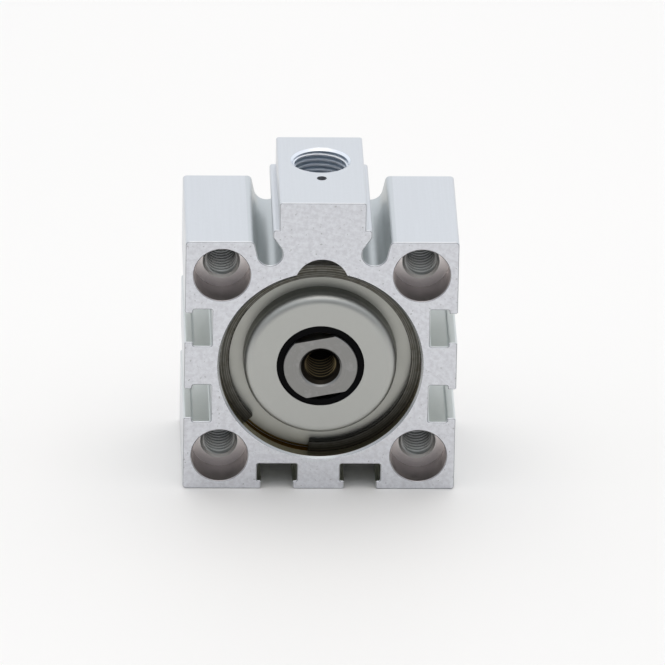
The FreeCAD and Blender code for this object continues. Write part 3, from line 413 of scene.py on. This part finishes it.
def thread_tree(material):
    """A tree that winds a thread into each hole of a square pattern, along +Z from its start: one ridge
    and a coned lead-in at each end of the wall."""
    lead = 0.6    # height of a lead-in, in ridge heights
    sunk = -0.1   # how far a root reaches into the wall, in ridge heights
    run_out_turns = 0.4
    turn_steps, circle_steps = 56, 72
    tree = bpy.data.node_groups.new("threads", "GeometryNodeTree")
    for name, kind in (("Wall radius", "NodeSocketFloat"), ("Ridge height", "NodeSocketFloat"),
                       ("Pitch", "NodeSocketFloat"), ("Length", "NodeSocketFloat"),
                       ("Spacing", "NodeSocketFloat"), ("Holes a side", "NodeSocketInt"),
                       ("Start", "NodeSocketVector"), ("Tilt", "NodeSocketVector")):
        tree.interface.new_socket(name, in_out="INPUT", socket_type=kind)
    tree.interface.new_socket("Geometry", in_out="OUTPUT", socket_type="NodeSocketGeometry")
    given = add(tree, "NodeGroupInput")

    def section(*corners):
        """A closed section of four corners: ridge heights towards the axis, then pitches and ridge
        heights down."""
        points = {}
        for i, (inward, pitches, heights) in enumerate(corners, start=1):
            reach = add(tree, "ShaderNodeMath", {0: given["Ridge height"], 1: -inward},
                        operation="MULTIPLY")[0]
            down = add(tree, "ShaderNodeMath", {0: given["Ridge height"], 1: heights},
                       operation="MULTIPLY")[0]
            down = add(tree, "ShaderNodeMath", {0: given["Pitch"], 1: pitches, 2: down},
                       operation="MULTIPLY_ADD")[0]
            points[f"Point {i}"] = add(tree, "ShaderNodeCombineXYZ", {"X": reach, "Y": down})[0]
        return add(tree, "GeometryNodeCurvePrimitiveQuadrilateral", points, mode="POINTS")[0]

    # The ridge: a wide root sunk a little into the wall, a narrow crest, and a run-out at each end
    rise = add(tree, "ShaderNodeMath", {0: given["Ridge height"], 1: -2 * lead, 2: given["Length"]},
               operation="MULTIPLY_ADD")[0]
    turns = add(tree, "ShaderNodeMath", {0: rise, 1: given["Pitch"]}, operation="DIVIDE")[0]
    helix = add(tree, "GeometryNodeCurveSpiral",
                {"Resolution": turn_steps, "Rotations": turns, "Start Radius": given["Wall radius"],
                 "End Radius": given["Wall radius"], "Height": rise, "Reverse": True})[0]
    helix = add(tree, "GeometryNodeSetCurveNormal", {"Curve": helix}, mode="Z_UP")[0]
    share = add(tree, "GeometryNodeSplineParameter")["Factor"]
    from_end = add(tree, "ShaderNodeMath", {0: 1.0, 1: share}, operation="SUBTRACT")[0]
    nearest = add(tree, "ShaderNodeMath", {0: share, 1: from_end}, operation="MINIMUM")[0]
    turns_in = add(tree, "ShaderNodeMath", {0: nearest, 1: turns}, operation="MULTIPLY")[0]
    run_out = add(tree, "ShaderNodeMapRange",
                  {"Value": turns_in, "From Min": 0.0, "From Max": run_out_turns,
                   "To Min": 0.02, "To Max": 1.0})["Result"]
    root, crest = 0.43, 0.12   # half their widths, in pitches
    ridge_section = section((sunk, root, 0.0), (1.0, crest, 0.0), (1.0, -crest, 0.0), (sunk, -root, 0.0))
    ridge = add(tree, "GeometryNodeCurveToMesh",
                {"Curve": helix, "Profile Curve": ridge_section, "Scale": run_out, "Fill Caps": True})[0]
    below_ridge = add(tree, "ShaderNodeMath", {0: given["Ridge height"], 1: lead},
                      operation="MULTIPLY")[0]
    ridge_start = add(tree, "ShaderNodeCombineXYZ", {"Z": below_ridge})[0]
    ridge = add(tree, "GeometryNodeTransform", {"Geometry": ridge, "Translation": ridge_start})[0]

    # The lead-in: a low cone at the mouth of the thread, and its flank back to the wall
    circle = add(tree, "GeometryNodeCurvePrimitiveCircle",
                 {"Resolution": circle_steps, "Radius": given["Wall radius"]})[0]
    circle = add(tree, "GeometryNodeSetCurveNormal", {"Curve": circle}, mode="Z_UP")[0]
    lead_section = section((sunk, 0.3, lead), (0.6, 0.0, lead), (0.0, 0.0, 0.0), (sunk, 0.0, 0.0))
    lead_in = add(tree, "GeometryNodeCurveToMesh", {"Curve": circle, "Profile Curve": lead_section})[0]
    top = add(tree, "ShaderNodeCombineXYZ", {"Z": given["Length"]})[0]
    upper = add(tree, "GeometryNodeTransform", {"Geometry": lead_in, "Translation": top})[0]
    lower = add(tree, "GeometryNodeTransform", {"Geometry": lead_in, "Rotation": (math.pi, 0.0, 0.0)})[0]
    joined = tree.nodes.new("GeometryNodeJoinGeometry")
    for shape in (ridge, upper, lower):
        tree.links.new(shape, joined.inputs[0])

    holes = add(tree, "GeometryNodeMeshGrid",
                {"Size X": given["Spacing"], "Size Y": given["Spacing"],
                 "Vertices X": given["Holes a side"], "Vertices Y": given["Holes a side"]})[0]
    threads = add(tree, "GeometryNodeInstanceOnPoints",
                  {"Points": holes, "Instance": joined.outputs[0]})[0]
    threads = add(tree, "GeometryNodeTransform",
                  {"Geometry": threads, "Translation": given["Start"], "Rotation": given["Tilt"]})[0]
    threads = add(tree, "GeometryNodeRealizeInstances", {0: threads})[0]
    dressed = add(tree, "GeometryNodeSetMaterial", {"Geometry": threads, "Material": material})[0]
    add(tree, "NodeGroupOutput", {"Geometry": dressed})
    return tree


def grown_piece(name, tree, sizes, body):
    """A plain mesh piece grown by a tree from its named sizes, riding on a body."""
    host = bpy.data.objects.new(f"{name}_host", bpy.data.meshes.new(f"{name}_host"))
    bpy.context.scene.collection.objects.link(host)
    grower = host.modifiers.new("grow", "NODES")
    grower.node_group = tree
    sockets = {item.name: item.identifier for item in tree.interface.items_tree
               if item.in_out == "INPUT"}
    for size, number in sizes.items():
        grower[sockets[size]] = number
    grown = host.evaluated_get(bpy.context.evaluated_depsgraph_get())
    mesh = bpy.data.meshes.new_from_object(grown)
    bpy.data.objects.remove(host)
    mesh.name = name
    if mesh.materials[0] is None:  # an empty slot ahead of the tree's material
        mesh.materials.pop(index=0)
    mesh.shade_smooth()
    mesh.set_sharp_from_angle(angle=SHARP_ANGLE)
    piece = bpy.data.objects.new(name, mesh)
    bpy.context.scene.collection.objects.link(piece)
    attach(piece, body)


def wind_threads(barrel_metal, rod_metal):
    """The threads of the four corner holes, the air port and the rod's end."""
    along_y = (-math.pi / 2, 0.0, 0.0)
    barrel_thread = thread_tree(barrel_metal)
    grown_piece("corner_threads", barrel_thread, {
        "Wall radius": HOLE_RADIUS, "Ridge height": M6_RIDGE, "Pitch": M6_PITCH,
        "Length": HOLE_REAR - HOLE_FRONT, "Spacing": HOLE_SPACING, "Holes a side": 2,
        "Start": (0.0, HOLE_FRONT, 0.0), "Tilt": along_y,
    }, "housing")
    grown_piece("port_thread", barrel_thread, {
        "Wall radius": PORT_RADIUS, "Ridge height": G18_RIDGE, "Pitch": G18_PITCH,
        "Length": PORT_LENGTH, "Spacing": 0.0, "Holes a side": 1,
        "Start": (0.0, PORT_BACK, PORT_FLOOR), "Tilt": (0.0, 0.0, 0.0),
    }, "housing")
    grown_piece("rod_thread", thread_tree(rod_metal), {
        "Wall radius": ROD_HOLE_RADIUS, "Ridge height": M6_RIDGE, "Pitch": M6_PITCH,
        "Length": ROD_HOLE_LENGTH, "Spacing": 0.0, "Holes a side": 1,
        "Start": (0.0, rod_low.y + ROD_COUNTERSINK, 0.0), "Tilt": along_y,
    }, "piston_and_rod")


def shortening_spring():
    """The return spring as a piece of its own, riding on the housing, with its wire merged into one
    mesh."""
    mesh = frame["nodes"]["return_spring"].data.copy()
    mesh.name = "shortening_spring"
    wire = bmesh.new()
    wire.from_mesh(mesh)
    bmesh.ops.remove_doubles(wire, verts=wire.verts, dist=0.0001 * MM)
    wire.to_mesh(mesh)
    wire.free()
    mesh.shade_smooth()
    mesh.set_sharp_from_angle(angle=SHARP_ANGLE)
    spring = bpy.data.objects.new("shortening_spring", mesh)
    bpy.context.scene.collection.objects.link(spring)
    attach(spring, "housing")
    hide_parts("return_spring")
    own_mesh(spring)


def dress_nodes():
    """Give every solid its material."""
    wiper_rubber = moulded_polymer("black_wiper_polyurethane", "#020203", "#060608")
    rubber = moulded_polymer("nitrile_rubber", "#111111", "#1B1B1B")
    buffer = moulded_polymer("buffer_polyurethane", "#7A6426", "#8E7632")
    barrel_metal = satin_anodised_extrusion()
    rod_metal = ground_rod_steel()
    dress = {
        "barrel": barrel_metal,
        "bearing_cap": turned_cap_aluminium(),
        "retaining_ring": phosphated_spring_steel(),
        "rod_wiper": wiper_rubber,
        "piston_seal": wiper_rubber,
        "piston_rod": rod_metal,
        "rod_bush": sintered_bronze(),
        "cap_o_ring": rubber,
        "rod_o_ring": rubber,
        "front_cushion_ring": buffer,
        "rear_cushion_ring": buffer,
        "piston_guide_ring": moulded_polymer("filled_guide_polymer", "#1E4A3C", "#28594A"),
        "piston_magnet": moulded_polymer("bonded_ferrite", "#26262A", "#323237"),
        "piston": machined_metal("turned_piston_aluminium", "#BDBEC0", "#CDCED0", 0.3 * MM, 0.32),
        "piston_screw": machined_metal("zinc_plated_steel", "#9C9FA4", "#B0B3B8", 0.4 * MM, 0.3),
        "return_spring": machined_metal("oiled_spring_wire", "#66666A", "#7C7C80", 0.5 * MM, 0.35),
    }
    for node, material in dress.items():
        frame["nodes"][node].data.materials.clear()
        frame["nodes"][node].data.materials.append(material)
    return barrel_metal, rod_metal


def pale_floor():
    """A plain pale floor under the part."""
    mesh = bpy.data.meshes.new("floor")
    corners = [(right * FLOOR_HALF, back * FLOOR_HALF, barrel_low.z)
               for right, back in ((-1, -1), (1, -1), (1, 1), (-1, 1))]
    mesh.from_pydata(corners, [], [(0, 1, 2, 3)])
    floor = bpy.data.objects.new("floor", mesh)
    bpy.context.scene.collection.objects.link(floor)
    material, tree, shader = new_material("pale_matt_floor", 0.0)
    cloud = grain(tree, 120 * MM, detail=1.0)
    tree.links.new(coats(tree, linear("#F4F3F0"), (cloud, "#F7F5F2")), shader.inputs["Base Color"])
    shader.inputs["Roughness"].default_value = 0.6
    mesh.materials.append(material)


def soft_light():
    """Soft white light, dim low in front and bright above and behind, with two soft panels above."""
    world = bpy.data.worlds.new("studio")
    world.use_nodes = True
    tree = world.node_tree
    sky = tree.nodes["Background"]
    sky.inputs["Color"].default_value = linear("#F5F9FF")
    towards = add(tree, "ShaderNodeTexCoord")["Generated"]
    skyward = add(tree, "ShaderNodeVectorMath", {0: towards, 1: UP_AND_BACK},
                  operation="DOT_PRODUCT")["Value"]
    glow = add(tree, "ShaderNodeMapRange",
               {"Value": skyward, "From Min": -0.3, "From Max": 0.5,
                "To Min": SKY_DIM, "To Max": SKY_BRIGHT})
    tree.links.new(glow["Result"], sky.inputs["Strength"])
    bpy.context.scene.world = world

    panels = (("overhead_panel", (0.0, 0.1, 0.8), 0.8, 1.6, "#FFEFDC"),
              ("front_panel", (0.0, -0.36, 0.77), 0.35, 0.25, "#FFFFFF"))
    for name, place, side, watts, tint in panels:
        data = bpy.data.lights.new(name, "AREA")
        data.shape = "SQUARE"
        data.size = side
        data.energy = watts
        data.color = linear(tint)[:3]
        light = bpy.data.objects.new(name, data)
        light.location = place
        light.rotation_euler = (-Vector(place)).to_track_quat("-Z", "Y").to_euler()
        bpy.context.scene.collection.objects.link(light)


def photograph_camera():
    """The camera of the photograph, from its angles, distance and scale."""
    turned = Vector((math.cos(CAMERA_TURN), math.sin(CAMERA_TURN), 0))
    level = Vector((-math.sin(CAMERA_TURN), math.cos(CAMERA_TURN), 0))
    forward = level * math.cos(CAMERA_DOWN) - Vector((0, 0, math.sin(CAMERA_DOWN)))
    upward = level * math.sin(CAMERA_DOWN) + Vector((0, 0, math.cos(CAMERA_DOWN)))
    right = turned * math.cos(CAMERA_ROLL) + upward * math.sin(CAMERA_ROLL)
    up = upward * math.cos(CAMERA_ROLL) - turned * math.sin(CAMERA_ROLL)
    data = bpy.data.cameras.new("photograph")
    data.sensor_width = SENSOR_WIDTH
    data.lens = SENSOR_WIDTH * CAMERA_DISTANCE / (IMAGE_SIDE / PIXELS_PER_MM * MM)
    camera = bpy.data.objects.new("photograph", data)
    axes = Matrix((right, up, -forward)).transposed().to_4x4()
    place = right * AIM_RIGHT + up * AIM_UP - forward * CAMERA_DISTANCE
    camera.matrix_world = Matrix.Translation(place) @ axes
    bpy.context.scene.collection.objects.link(camera)
    bpy.context.scene.camera = camera


bpy.context.scene.view_settings.view_transform = "Standard"
barrel_metal, rod_metal = dress_nodes()
wind_threads(barrel_metal, rod_metal)
shortening_spring()
pale_floor()
soft_light()
photograph_camera()
